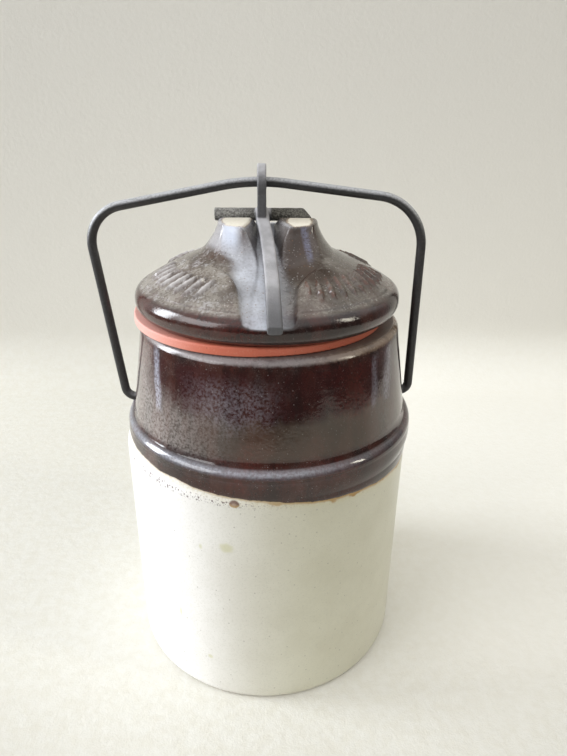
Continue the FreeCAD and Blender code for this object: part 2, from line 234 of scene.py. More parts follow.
lamps = {
    # name: place, aim, width, height, watts, colour
    "window": ((-1.70, 0.17, 0.62), (0.0, 0.0, 0.10), 0.58, 1.10, 30.0, (0.91, 0.95, 1.0)),
    "daylight": ((-1.50, -0.85, 0.80), (0.0, 0.0, 0.10), 1.20, 1.00, 15.0, (0.97, 0.98, 1.0)),
    "fill": ((1.50, -0.50, 0.85), (0.0, 0.0, 0.10), 0.16, 0.60, 4.5, (1.0, 0.95, 0.80)),
}

stageSizes = {
    "wide": 0.50,
    "front": -0.52,
    "back": 0.262,
    "curve": 0.045,
    "tall": 0.9,
    "steps": 12,
}


def makeLamps():
    for name, (place, aim, width, height, watts, color) in lamps.items():
        lamp = bpy.data.lights.new(name, "AREA")
        lamp.shape = "RECTANGLE"
        lamp.size = width
        lamp.size_y = height
        lamp.energy = watts
        lamp.color = color
        holder = bpy.data.objects.new(name, lamp)
        holder.location = place
        holder.rotation_euler = (Vector(aim) - Vector(place)).to_track_quat("-Z", "Y").to_euler()
        scene.collection.objects.link(holder)


def makeWorld():
    world = bpy.data.worlds.new("room")
    world.use_nodes = True
    graph = Graph(world.node_tree)
    direction = graph.add("ShaderNodeTexCoord", output="Generated")
    x, y, z = graph.split(direction)
    sky = graph.ease(z, 0.12, 0.70)                       # pale ceiling, dark room at the front
    left = graph.ease(-x, 0.25, 0.85) * graph.ease(z, -0.25, 0.15)
    back = graph.ease(y, 0.0, 0.6)
    pale = graph.least(sky + left * 0.42 + back * 0.35 + 0.03, 1.0)
    color = graph.add("ShaderNodeValToRGB",
                      {"stops": [(0.0, gray(0.055, 0.004)), (0.5, gray(0.45, 0.01)),
                                 (1.0, gray(1.0, 0.01))]}, {"Fac": pale})
    light = graph.add("ShaderNodeBackground", None, {"Color": color, "Strength": 0.95})
    graph.add("ShaderNodeOutputWorld", None, {"Surface": light})
    scene.world = world


def paperMaterial():
    shader = Shader("backdrop paper")
    weave = shader.noise(shader.place, 0.35, 4.0, 0.6)
    fine = shader.noise(shader.place, 1.6, 3.0, 0.6)
    wall = shader.ease(shader.z, 1.0, 60.0)
    mottle = shader.patches(0.20, 4.0, 0.65, 0.30, 0.68)
    floorColor = shader.blend(mottle, (0.715, 0.700, 0.630, 1.0), (0.755, 0.748, 0.695, 1.0))
    color = shader.blend(wall, floorColor, (0.76, 0.745, 0.695, 1.0))
    # painted shade: the wall darker towards the left, the floor darker towards the front and on the
    # left
    paintedShade = shader.ease(shader.x, 20.0, -300.0) * wall * 0.16
    paintedShade = paintedShade + shader.ease(shader.y, -30.0, -150.0) * 0.34
    paintedShade = paintedShade + shader.ease(shader.x, -20.0, -120.0) * (1.0 - wall) * 0.14
    color = shader.blend(paintedShade, color, (0.22, 0.21, 0.17, 1.0))
    # painted light: the floor lighter to the right of the jar, over the shadow that falls there
    paintedLight = shader.ease(shader.x, 10.0, 110.0) * (1.0 - wall) * shader.ease(shader.y, -90.0, -20.0)
    color = shader.blend(paintedLight * 0.60, color, (0.97, 0.96, 0.90, 1.0))
    behind = shader.add("ShaderNodeNewGeometry", output="Backfacing")   # clear seen from behind
    return shader.finish({"Roughness": 0.9, "Specular IOR Level": 0.1},
                         {"Base Color": color, "Alpha": 1.0 - behind},
                         weave * 0.7 + fine * 0.3, 0.35)


def makeStage():
    s = stageSizes
    outline = [(s["front"], 0.0), (s["back"] - s["curve"], 0.0)]
    outline += arc(outline[-1], (s["back"], s["curve"]), s["curve"], s["steps"])
    outline.append((s["back"], s["tall"]))
    vertices = [(side * s["wide"], y, z) for y, z in outline for side in (-1, 1)]
    faces = [(2 * k, 2 * k + 1, 2 * k + 3, 2 * k + 2) for k in range(len(outline) - 1)]
    mesh = bpy.data.meshes.new("backdrop")
    mesh.from_pydata(vertices, [], faces)
    mesh.shade_smooth()
    mesh.materials.append(paperMaterial())
    backdrop = bpy.data.objects.new("backdrop", mesh)
    scene.collection.objects.link(backdrop)


def arc(start, end, radius, steps):
    # points from start to end, without start, on an arc that bulges to the right of the way;
    # a negative radius bulges to the left
    a, b = Vector(start), Vector(end)
    chord = b - a
    lift = math.sqrt(max(radius * radius - chord.length_squared / 4.0, 0.0))
    side = 1.0 if radius > 0 else -1.0
    centre = (a + b) / 2.0 + Vector((-chord.y, chord.x)).normalized() * lift * side
    fromAngle = math.atan2(a.y - centre.y, a.x - centre.x)
    turn = math.atan2(b.y - centre.y, b.x - centre.x) - fromAngle
    turn = (turn + math.pi) % (2.0 * math.pi) - math.pi
    return [(centre.x + abs(radius) * math.cos(fromAngle + turn * k / steps),
             centre.y + abs(radius) * math.sin(fromAngle + turn * k / steps))
            for k in range(1, steps + 1)]


def run(start, end, steps):                     # points from start to end, without start
    return [(start[0] + (end[0] - start[0]) * k / steps, start[1] + (end[1] - start[1]) * k / steps)
            for k in range(1, steps + 1)]


def objectFrom(name, mesh):
    piece = bpy.data.objects.new(name, mesh)
    scene.collection.objects.link(piece)
    return piece


def dress(mesh, material):
    mesh.materials.clear()
    mesh.materials.append(material)


def plainMesh(piece, name):                     # the modifiers' result, as a new plain object
    bpy.context.view_layer.update()
    graph = bpy.context.evaluated_depsgraph_get()
    mesh = bpy.data.meshes.new_from_object(piece.evaluated_get(graph), depsgraph=graph)
    mesh.name = name
    bpy.data.objects.remove(piece)
    return objectFrom(name, mesh)


def outwardNormals(piece):
    shape = bmesh.new()
    shape.from_mesh(piece.data)
    bmesh.ops.remove_doubles(shape, verts=shape.verts, dist=0.001 * mm)
    bmesh.ops.recalc_face_normals(shape, faces=shape.faces)
    shape.to_mesh(piece.data)
    shape.free()


def smoothShade(piece, degrees):
    piece.data.shade_smooth()
    piece.data.set_sharp_from_angle(angle=math.radians(degrees))


def formTree(name, fields):
    # an empty geometry tree with named inputs; returns its graph, input sockets and identifiers
    tree = bpy.data.node_groups.new(name, "GeometryNodeTree")
    keys = {}
    tree.interface.new_socket("Geometry", in_out="INPUT", socket_type="NodeSocketGeometry")
    for label, (kind, value) in fields.items():
        socket = tree.interface.new_socket(label, in_out="INPUT", socket_type=f"NodeSocket{kind}")
        if value is not None:
            socket.default_value = value
        keys[label] = socket.identifier
    tree.interface.new_socket("Geometry", in_out="OUTPUT", socket_type="NodeSocketGeometry")
    graph = Graph(tree)
    source = graph.add("NodeGroupInput")
    return tree, graph, source, keys


def useTree(piece, tree, keys, values):
    modifier = piece.modifiers.new(tree.name, "NODES")
    modifier.node_group = tree
    for label, value in values.items():
        modifier[keys[label]] = value


def turnedGrid(graph, source):
    # a grid whose columns are angles round the axis and whose rows are points of the outline
    grid = graph.add("GeometryNodeMeshGrid", None,
                     {"Size X": 1.0, "Size Y": 1.0, "Vertices X": source.also("Around"),
                      "Vertices Y": source.also("Points")})
    spot = graph.add("GeometryNodeInputPosition")
    u, v, _ = graph.split(spot)
    number = graph.maths("ROUND", (v + 0.5) * (source.also("Points") - 1.0))
    profile = graph.add("GeometryNodeSampleIndex", {"data_type": "FLOAT_VECTOR"},
                        {"Geometry": source, "Value": spot, "Index": number})
    r, _, z = graph.split(profile)
    return grid, (u + 0.5) * (2.0 * math.pi), r, z


def turnedWall(graph, grid, place):             # the grid in its place, with seam and poles closed
    wall = graph.add("GeometryNodeSetPosition", None, {"Geometry": grid, "Position": place})
    return graph.add("GeometryNodeMergeByDistance", None, {"Geometry": wall, "Distance": 0.02 * mm})


def endTree(graph, source, mesh):
    mesh = graph.add("GeometryNodeRealizeInstances", None, {"Geometry": mesh})
    mesh = graph.add("GeometryNodeSetMaterial", None,
                     {"Geometry": mesh, "Material": source.also("Material")})
    graph.add("NodeGroupOutput", None, {"Geometry": mesh})


def turnedPiece(name, outline, tree, keys, values):
    mesh = bpy.data.meshes.new(name + " outline")
    mesh.from_pydata([(r * mm, 0.0, z * mm) for r, z in outline],
                     [(k, k + 1) for k in range(len(outline) - 1)], [])
    piece = objectFrom(name + " outline", mesh)
    useTree(piece, tree, keys, values)
    piece = plainMesh(piece, name)
    outwardNormals(piece)
    return piece


glaze = {
    "lineHeight": 94.3,          # where the brown glaze ends at the middle of the front
    "lineTilt": -0.080,          # its fall for each millimetre towards +X
    "lineWander": 1.5,           # how unevenly it runs
    "lineNibble": 0.55,          # the same for its small notches
}


def glazeEdge(graph, place):
    # height above the uneven lower edge of the brown glaze, in millimetres
    wander = graph.noise(place, 0.09, 3.0, 0.55) - 0.5
    nibble = graph.noise(place, 0.5, 2.0, 0.6) - 0.5
    x, _, z = graph.split(place)
    line = x * glaze["lineTilt"] + glaze["lineHeight"]
    line = line + wander * glaze["lineWander"] + nibble * glaze["lineNibble"]
    return z - line


def brownGlaze(shader, worn, leftDustAndLight=1.0):
    # colour, roughness and relief of the dark slip glaze: worn is where it is rubbed thin, the last
    # argument how much dust and painted light lie on its left side
    broad = shader.noise(shader.place, 0.040, 3.0, 0.6)
    runs = shader.noise(shader.vector("MULTIPLY", shader.place, (1.0, 1.0, 0.30)), 0.12, 4.0, 0.6)
    mottle = shader.noise(shader.place, 0.8, 4.0, 0.65)
    tone = shader.ease(runs, 0.36, 0.64)
    color = shader.blend(tone, (0.014, 0.0048, 0.0042, 1.0), (0.044, 0.0125, 0.0085, 1.0))
    red = shader.ease(broad, 0.48, 0.66) * shader.ease(mottle, 0.30, 0.70)
    color = shader.blend(red * 0.65, color, (0.095, 0.0125, 0.0090, 1.0))
    color = shader.blend(worn, color, (0.13, 0.045, 0.028, 1.0))
    haze = shader.patches(0.13, 5.0, 0.7, 0.40, 0.75)
    grain = shader.patches(3.4, 2.0, 0.75, 0.52, 0.80)
    lint = shader.ease(shader.noise(shader.vector("MULTIPLY", shader.place, (1.0, 1.0, 2.6)),
                                    1.9, 4.0, 0.8, 1.2), 0.66, 0.76)
    specks = shader.dots(0.75, 0.10, 0.20) + shader.dots(1.9, 0.15, 0.14) * 0.6
    dust = haze * grain * 0.40 + haze * 0.020 + 0.008 + lint * 0.26 + specks * 0.46
    # dust and painted light: the glaze paler towards the left, where the light falls
    side = shader.ease(shader.x, -28.0, -47.0)
    dust = dust + side * (grain * 0.22 + haze * 0.12 + 0.05) * leftDustAndLight
    dust = shader.least(dust, 0.85)
    color = shader.blend(dust, color, (0.42, 0.39, 0.37, 1.0))
    rough = shader.least(0.045 + haze * 0.07 + dust * 0.50, 0.8)
    relief = runs * 0.5 + mottle * 0.10 + specks * 0.25 + lint * 0.1
    return color, rough, relief


blots = [                        # yellow-green spots in the pale glaze: centre and half sizes
    ((-14.2, -55.3, 74.0), (2.9, 2.9, 2.3)),
    ((-23.6, -52.0, 72.2), (0.9, 0.9, 1.4)),
    ((-22.2, -52.6, 18.8), (1.3, 1.3, 1.2)),
    ((-33.4, -46.2, 36.0), (0.7, 0.7, 2.6)),
    ((31.0, 47.8, 58.0), (2.0, 2.0, 1.5)),
    ((-44.0, 36.2, 28.0), (1.4, 1.4, 1.9)),
]


def paleGlaze(shader, cloud, fine):
    # the lower glaze, painted whiter on the left and darker cream on the right as light and shade,
    # with faint mottling, grey specks and blots
    # painted light and shade: both tones run from white on the left to a darker cream on the right
    across = shader.ease(shader.x, -40.0, 20.0)
    lit = shader.blend(across, (0.880, 0.870, 0.865, 1.0), (0.645, 0.632, 0.505, 1.0))
    shade = shader.blend(across, (0.835, 0.820, 0.805, 1.0), (0.595, 0.578, 0.450, 1.0))
    pale = shader.blend(shader.ease(cloud, 0.3, 0.7), shade, lit)
    pale = shader.blend(shader.ease(fine, 0.42, 0.70) * 0.16, pale, (0.50, 0.50, 0.42, 1.0))
    specks = shader.dots(0.42, 0.13, 0.36) * 0.55 + shader.dots(1.0, 0.17, 0.34) * 0.36
    specks = specks + shader.patches(2.2, 2.0, 0.7, 0.58, 0.76) * 0.20
    pale = shader.blend(specks, pale, (0.26, 0.24, 0.20, 1.0))
    for centre, size in blots:
        ragged = shader.apart(shader.place, centre, tuple(1.0 / s for s in size)) + (fine - 0.5) * 0.9
        pale = shader.blend(shader.ease(ragged, 1.20, 0.45) * 0.50, pale, (0.54, 0.53, 0.25, 1.0))
    return pale


drip = {                         # a small bead that ran from the brown glaze
    "centre": (-10.9, -56.1, 92.9),
    "wide": 1.7,
    "tall": 1.35,
    "proud": 0.45,
    "inward": 0.35,              # how fast it fades into the wall
}


def dripReach(graph, place):                    # 0 at the middle of the drip, 1 at its edge
    stretch = (1.0 / drip["wide"], drip["inward"], 1.0 / drip["tall"])
    return graph.apart(place, drip["centre"], stretch)


bands = {                        # heights where the jar's look changes
    "foot": (1.0, 0.25),         # bare clay where it stands
    "string": 92.5,              # the middle of the purple specks
    "crest": 99.6,
    "crown": (98.6, 101.0),      # the pale film on top of the ridge, a painted highlight
    "crownEnd": (105.6, 104.2),
    "olive": (106.5, 109.5),     # the lower half of the neck, a painted reflection of the floor
    "oliveEnd": (123.0, 118.0),
    "maroon": (119.0, 124.0),    # its upper half
    "maroonEnd": (138.5, 135.5),
    "veil": (114.0, 122.0),
    "veilEnd": (137.0, 128.0),
    "mouth": 140.3,
    "seat": (141.0, 141.3),      # the flat that the rubber ring rests on
}


def edgeMarks(shader, pale, below, fine):
    # a warm tide mark, an ochre lip, a string of purple specks and the drip
    x, y, z = shader.x, shader.y, shader.z
    side = shader.ease(x, -30.0, 34.0)
    tide = shader.ease(below, 3.4, 0.2) * shader.ease(fine, 0.25, 0.7)
    pale = shader.blend(tide * 0.42, pale, (0.60, 0.50, 0.27, 1.0))
    blotch = shader.patches(0.16, 2.0, 0.5, 0.52, 0.68) * side
    lip = shader.ease(below - blotch * 1.5, side * 0.5 + 0.85, 0.15) * (side * 0.65 + 0.34)
    pale = shader.blend(lip, pale, (0.38, 0.215, 0.048, 1.0))
    string = shader.size(z - bands["string"] + x * 0.012 - (fine - 0.5) * 3.2)
    string = shader.ease(string, 1.7, 0.30)
    string = string * (shader.ease(x, 4.0, -14.0) * 0.8 + shader.ease(x, 22.0, 2.0) * 0.25)
    string = string * shader.ease(y, 8.0, -12.0)
    purple = string * (shader.dots(0.95, 0.40, 0.60) + shader.dots(1.7, 0.40, 0.55) * 0.8)
    pale = shader.blend(shader.least(purple, 1.0) * 0.85, pale, (0.095, 0.050, 0.060, 1.0))
    reach = dripReach(shader, shader.place) + (fine - 0.5) * 0.45
    amber = shader.ease(z, drip["centre"][2] + 0.4, drip["centre"][2] - 1.0)
    bead = shader.blend(amber, (0.13, 0.060, 0.040, 1.0), (0.42, 0.25, 0.075, 1.0))
    pale = shader.blend(shader.ease(reach, 1.20, 0.85) * 0.9, pale, bead)
    return shader.blend(shader.ease(reach, 0.55, 0.25) * 0.55, pale, (0.50, 0.38, 0.30, 1.0))


reflectionStreaks = [                     # painted window reflections on the neck: x, half width, lowest and highest level, strength
    (-37.0, 1.7, 117.0, 140.0, 0.72),
    (36.5, 1.6, 119.0, 139.0, 0.26),
    (42.0, 2.6, 119.0, 140.0, 0.30),
]


def neckMarks(shader, color, fine):
    # deep maroon above and a painted floor reflection in olive brown below, with painted reflection
    # streaks and grainy painted light on the left
    x, y, z = shader.x, shader.y, shader.z
    wander = shader.noise(shader.vector("MULTIPLY", shader.place, (1.0, 1.0, 0.35)), 0.14, 3.0, 0.6)
    level = z + (wander - 0.5) * 13.0
    upper = shader.ease(level, *bands["maroon"]) * shader.ease(z, *bands["maroonEnd"])
    patchy = shader.ease(wander, 0.40, 0.60)
    color = shader.blend(upper * (patchy * 0.45 + 0.15) * shader.ease(x, -46.0, -40.0), color,
                         (0.038, 0.0060, 0.0062, 1.0))
    veil = shader.ease(shader.size(x + 11.0 + (wander - 0.5) * 16.0), 20.0, 4.0)
    veil = veil * shader.ease(level, *bands["veil"]) * shader.ease(z, *bands["veilEnd"])
    veil = veil * shader.ease(fine, 0.34, 0.66) * shader.ease(y, 0.0, -12.0)
    color = shader.blend(veil * 0.30, color, (0.34, 0.32, 0.37, 1.0))
    motes = shader.dots(0.62, 0.13, 0.30) + shader.dots(1.3, 0.16, 0.30) * 0.8
    motes = motes * shader.ease(x, 40.0, 0.0, 0.40, 1.0)
    color = shader.blend(shader.least(motes, 1.0) * 0.34, color, (0.46, 0.44, 0.43, 1.0))
    # painted reflection of the pale floor: the neck's lower half olive brown, strongest on the right
    lower = shader.ease(level, *bands["oliveEnd"]) * shader.ease(z, *bands["olive"])
    color = shader.blend(lower * shader.ease(x, -44.0, 20.0, 0.10, 0.34), color,
                         (0.120, 0.092, 0.062, 1.0))
    # pale streaks of painted window reflection
    for line, wide, low, high, strength in reflectionStreaks:
        near = shader.ease(shader.size(x - line + (wander - 0.5) * 3.0), wide, wide * 0.1)
        near = near * shader.ease(level, low, low + 3.0) * shader.ease(z, high, high - 4.0)
        near = near * shader.ease(y, 0.0, -6.0) * shader.ease(fine, 0.25, 0.62)
        color = shader.blend(near * strength, color, (0.42, 0.43, 0.52, 1.0))
    # painted light: the neck's left paler where it faces the bright side, broken up with grain
    paintedLeftLight = shader.ease(x, -4.0, -40.0) * shader.ease(level, 130.0, 112.0)
    paintedLeftLight = paintedLeftLight + shader.ease(x, -36.0, -47.0) * shader.ease(z, 139.0, 136.0)
    paintedLeftLight = shader.least(paintedLeftLight, 1.0) * shader.ease(fine, 0.28, 0.66) * shader.ease(z, 105.0, 108.0)
    paintedLeftLight = paintedLeftLight * shader.ease(y, 24.0, -6.0)
    return shader.blend(paintedLeftLight * 0.40, color, (0.50, 0.455, 0.44, 1.0))


def jarMaterial():
    shader = Shader("stoneware glazes")
    x, z = shader.x, shader.z
    above = glazeEdge(shader, shader.place)
    brown = shader.ease(above, -0.12, 0.12)
    cloud = shader.noise(shader.place, 0.05, 4.0, 0.6)
    fine = shader.noise(shader.place, 1.1, 3.0, 0.6)
    pale = edgeMarks(shader, paleGlaze(shader, cloud, fine), -above, fine)
    foot = shader.ease(z, *bands["foot"])
    pale = shader.blend(foot * 0.9, pale, (0.42, 0.36, 0.27, 1.0))

    # wear along the ridge and at the mouth, where the brown glaze runs thin
    crest = shader.ease(shader.size(z - bands["crest"]), 2.6, 0.4) * shader.ease(fine, 0.35, 0.8)
    mouth = shader.ease(shader.size(z - bands["mouth"] - (fine - 0.5) * 1.4), 1.7, 0.3)
    mouth = mouth * (shader.patches(0.22, 3.0, 0.6, 0.25, 0.55) * 0.6 + 0.4)
    color, rough, relief = brownGlaze(shader, crest * 0.18)
    worn = shader.blend(shader.ease(x, 6.0, 32.0), (0.30, 0.265, 0.265, 1.0),
                        (0.30, 0.215, 0.150, 1.0))
    color = neckMarks(shader, shader.blend(mouth * 0.72, color, worn), fine)
    # painted highlight: a pale bluish dusty layer on the upward faces of the ridge top, fading to the
    # right
    crown = shader.ease(z, *bands["crown"]) * shader.ease(z, *bands["crownEnd"])
    dustFilmAndLight = crown * shader.ease(shader.up, 0.02, 0.62) * (shader.ease(fine, 0.3, 0.7) * 0.5 + 0.5)
    dustFilmAndLight = dustFilmAndLight * shader.ease(x, 40.0, 6.0, 0.25, 1.0)
    color = shader.blend(dustFilmAndLight * 0.62, color, (0.42, 0.44, 0.50, 1.0))
    seat = shader.ease(z, *bands["seat"])
    color = shader.blend(seat * 0.50, color, (0.12, 0.090, 0.075, 1.0))

    color = shader.blend(brown, pale, color)
    roughness = shader.ease(brown, 0.0, 1.0) * (rough - 0.30) + 0.30 + foot * 0.4
    roughness = shader.least(roughness + mouth * brown * 0.2 + seat * 0.4, 0.95)
    height = brown * relief * 0.045 + fine * 0.020 + cloud * 0.15
    return shader.finish({"Specular IOR Level": 0.5, "IOR": 1.6},
                         {"Base Color": color, "Roughness": roughness}, height, 1.0)


jarSizes = {
    "around": 288,
    "wallRadius": 56.65,
    "footRadius": 55.0,
    "footRise": 2.5,
    "footRound": 3.2,
    "wallMiddle": 89.0,          # the wall's points are closer together above this
    "wallTop": 92.3,
    "valleyRadius": 56.3,
    "valleyHeight": 94.6,
    "valleyRound": 8.0,
    "faceRadius": 56.2,
    "faceHeight": 101.4,
    "faceRound": 30.0,
    "ridgeRound": 3.4,
    "creaseRadius": 54.0,
    "creaseHeight": 105.2,
    "neckRadius": 53.2,
    "neckHeight": 108.6,
    "neckRound": 7.0,
    "throatRadius": 48.75,
    "throatHeight": 138.7,
    "mouthRadius": 46.0,
    "mouthHeight": 141.38,
    "mouthRound": 3.6,
    "lean": 1.2,                 # the upper part stands this far to +X
    "leanStart": 91.0,
    "leanEnd": 99.0,
    "still": (30.0, 52.0),       # nothing moves inside the first radius
    "wobble": 0.12,
    "glazeThickness": 0.20,
    "socketRadius": 2.15,
    "socketHeight": 107.05,
    "socketSlope": 0.0221,
    "socketLeft": -47.8,
    "socketRight": 48.8,
    "socketReach": 14.0,
}


def jarOutline():
    s = jarSizes
    line = [(0.0, 0.0)]
    line += run(line[-1], (s["footRadius"], 0.0), 6)
    line += arc(line[-1], (s["wallRadius"], s["footRise"]), s["footRound"], 8)
    line += run(line[-1], (s["wallRadius"], s["wallMiddle"]), 44)
    line += run(line[-1], (s["wallRadius"], s["wallTop"]), 10)
    line += arc(line[-1], (s["valleyRadius"], s["valleyHeight"]), s["valleyRound"], 9)
    line += arc(line[-1], (s["faceRadius"], s["faceHeight"]), s["faceRound"], 14)
    line += arc(line[-1], (s["creaseRadius"], s["creaseHeight"]), s["ridgeRound"], 20)
    line += arc(line[-1], (s["neckRadius"], s["neckHeight"]), -s["neckRound"], 6)
    line += run(line[-1], (s["throatRadius"], s["throatHeight"]), 28)
    line += arc(line[-1], (s["mouthRadius"], s["mouthHeight"]), s["mouthRound"], 9)
    line += run(line[-1], (0.0, s["mouthHeight"]), 8)
    return line


def latheTree():
    # turns a profile round the upright axis, leans it, makes it uneven, lays the brown glaze on
    # and drills the two sockets
    tree, graph, source, keys = formTree("turned pot", {
        "Around": ("Int", 64),
        "Points": ("Int", 10),
        "Lean": ("Float", 0.0),
        "Wobble": ("Float", 0.0),
        "Glaze Thickness": ("Float", 0.0),
        "Material": ("Material", None),
    })
    s = jarSizes
    grid, angle, r, z = turnedGrid(graph, source)
    cosine = graph.maths("COSINE", angle)
    sine = graph.maths("SINE", angle)
    lean = graph.ease(z, s["leanStart"] * mm, s["leanEnd"] * mm) * source.also("Lean")
    flat = graph.join(r * cosine, r * sine, z)
    uneven = (graph.noise(flat, 22.0, 2.0) - 0.5) * source.also("Wobble") * 2.0
    rings = (graph.noise(graph.join(0.0, 0.0, z), 260.0, 1.0) - 0.5) * source.also("Wobble") * 0.35
    outside = graph.inMillimetres(graph.join(r * cosine + lean, r * sine, z))
    thick = graph.ease(glazeEdge(graph, outside), -0.25, 0.65) * source.also("Glaze Thickness")
    bead = graph.ease(dripReach(graph, outside), 1.1, 0.2) * (drip["proud"] * mm)
    inner = graph.ease(r, s["still"][0] * mm, s["still"][1] * mm)
    grown = r + (uneven + rings + thick + bead) * inner
    wall = turnedWall(graph, grid, graph.join(grown * cosine + lean, grown * sine, z))
    cutter = graph.tree.nodes.new("GeometryNodeJoinGeometry")
    for end, side in (("socketLeft", -1), ("socketRight", 1)):
        middle = s[end] + side * s["socketReach"] / 2.0
        bar = graph.add("GeometryNodeMeshCylinder", None,
                        {"Vertices": 40, "Radius": s["socketRadius"] * mm,
                         "Depth": s["socketReach"] * mm})
        bar = graph.add("GeometryNodeTransform", None, {
            "Geometry": bar,
            "Translation": (middle * mm, 0.0,
                            (s["socketHeight"] + middle * s["socketSlope"]) * mm),
            "Rotation": (0.0, math.radians(90.0) - math.atan(s["socketSlope"]), 0.0)})
        graph.tree.links.new(bar.socket, cutter.inputs[0])
    cut = graph.add("GeometryNodeMeshBoolean", {"operation": "DIFFERENCE", "solver": "EXACT"},
                    {"Mesh 1": wall, "Mesh 2": Value(graph, cutter.outputs[0])})
    endTree(graph, source, cut)
    return tree, keys


def makeJar(material):
    tree, keys = latheTree()
    jar = turnedPiece("stoneware_jar", jarOutline(), tree, keys, {
        "Around": jarSizes["around"] + 1,
        "Points": len(jarOutline()),
        "Lean": jarSizes["lean"] * mm,
        "Wobble": jarSizes["wobble"] * mm,
        "Glaze Thickness": jarSizes["glazeThickness"] * mm,
        "Material": material,
    })
    smoothShade(jar, 40.0)
    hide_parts("jar_body")
    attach(jar, "jar")


lidSizes = {
    "around": 400,
    "shift": 0.4,                # the lid sits a little to +X on the jar
    "hubTop": 177.0,
    "hubRadius": 16.2,
    "hubNeck": (18.1, 174.9),
    "hubRound": 2.1,
    "hubFoot": (24.6, 165.4),
    "hollow": 24.0,
    "domeFoot": (44.7, 155.45),
    "domeRound": 170.0,
    "groove": (45.2, 154.90),
    "rimTop": (45.8, 154.6),
    "rimRound": 4.9,
    "rimOut": (49.0, 149.9),
    "rimUnder": (45.4, 144.62),
    "underRound": 5.2,
    "bossRadius": 34.2,
    "bossUnder": 141.7,
    "bossTaper": 0.6,
    "topStart": (149.85, 150.2),     # only what is above this is pressed
    "still": (2.0, 20.0),            # nothing is uneven inside the first radius
    "recessDepth": (0.25, 1.2),      # pressed this deep, the surface counts as a recess
    "wobble": 0.16,
}

carving = {                      # what is pressed into the lid's top; the front is towards -Y
    "slope": 0.4534,             # rise of the groove's floor towards the back
    "grooveFloor": 173.55,       # its height on the lid's axis
    "grooveFront": 6.8,          # half its width at the rim and at the hub
    "grooveBack": 3.7,
    "grooveNarrows": (-44.0, -16.0),
    "grooveRoom": -0.9,          # change of its width beside the lever's shank
    "grooveShank": (-14.0, -6.0),
    "grooveShift": 1.2,          # it bends with the lever, from the rim to the hub
    "grooveTurn": -0.7,
    "grooveBends": (-28.0, -6.0),
    "grooveWall": 1.6,
    "grooveBlend": 1.8,
    "fanFloor": 173.65,
    "fanFront": 7.0,             # half the fan's width at the rim
    "fanSwell": 1.2,             # how much wider it is half way
    "fanSwells": (-58.0, -30.0),
    "fanSpread": 9.6,            # and at the hub
    "fanOpens": (-38.0, -21.0),
    "fanCurve": 2.2,
    "fanWall": 1.3,
    "fanBlend": 2.0,
    "faceStart": -23.0,          # where the fan's floor turns up into the hub's hollow faces
    "faceReach": 11.4,
    "faceHeight": 9.0,
    "faceFlat": 8.5,             # past this the hollow faces turn away from each other
    "faceTurn": 0.50,
    "facePast": 8.0,             # slope of the wall behind them
    "topTilt": 0.12,             # fall of the worn top of the hub towards the front
    "seatFront": 0.3,            # the flat behind the hub's faces that the cross bar rests on
    "seatFloor": 174.8,
    "seatFall": 0.126,
    "seatWall": 7.0,
    "seatBlend": 0.5,
}

leaves = {                       # moulded leaf strokes on the dome
    "count": 56,
    "radius": 38.0,
    "halfLength": 5.4,
    "halfWidth": 1.35,
    "slant": -0.30,
    "height": 1.15,
    "side": 0.75,                # how softly each stroke rises at its sides and its ends
    "tip": 0.25,
    "fade": 0.07,                # the same for the ends of each arc, in radians
    "arcs": ((184.0, 243.0), (287.0, 356.0), (14.0, 78.0), (102.0, 166.0)),      # degrees
}


def lidOutline():
    s = lidSizes
    line = [(0.0, s["hubTop"])]
    line += run(line[-1], (s["hubRadius"], s["hubTop"]), 44)
    line += arc(line[-1], s["hubNeck"], -s["hubRound"], 6)
    line += arc(line[-1], s["hubFoot"], s["hollow"], 30)
    line += arc(line[-1], s["domeFoot"], -s["domeRound"], 56)
    line += run(line[-1], s["groove"], 3)
    line += run(line[-1], s["rimTop"], 2)
    line += arc(line[-1], s["rimOut"], -s["rimRound"], 14)
    line += arc(line[-1], s["rimUnder"], -s["underRound"], 12)
    line += run(line[-1], (s["bossRadius"], s["rimUnder"][1]), 4)
    line += run(line[-1], (s["bossRadius"] - s["bossTaper"], s["bossUnder"]), 3)
    line += run(line[-1], (0.0, s["bossUnder"]), 8)
    return line


def leafRelief(graph, angle, r):
    # 0 to 1 over slanted strokes, in separate arcs round the dome
    along = r - leaves["radius"]
    around = angle * leaves["radius"] - along * leaves["slant"]
    half = math.pi * leaves["radius"] / leaves["count"]
    aside = graph.size(graph.maths("WRAP", around, half, -half))
    reach = 1.0 - (along / leaves["halfLength"]) ** 2.0
    edge = graph.most(reach, 0.001) * leaves["halfWidth"] - aside
    shape = graph.ease(edge, 0.0, leaves["side"]) * graph.ease(reach, 0.0, leaves["tip"])
    present = 0.0
    for start, end in leaves["arcs"]:
        middle, spread = math.radians((start + end) / 2.0), math.radians((end - start) / 2.0)
        gap = graph.size(angle - middle)
        present = present + graph.ease(gap, spread, spread - leaves["fade"])
    return shape * present


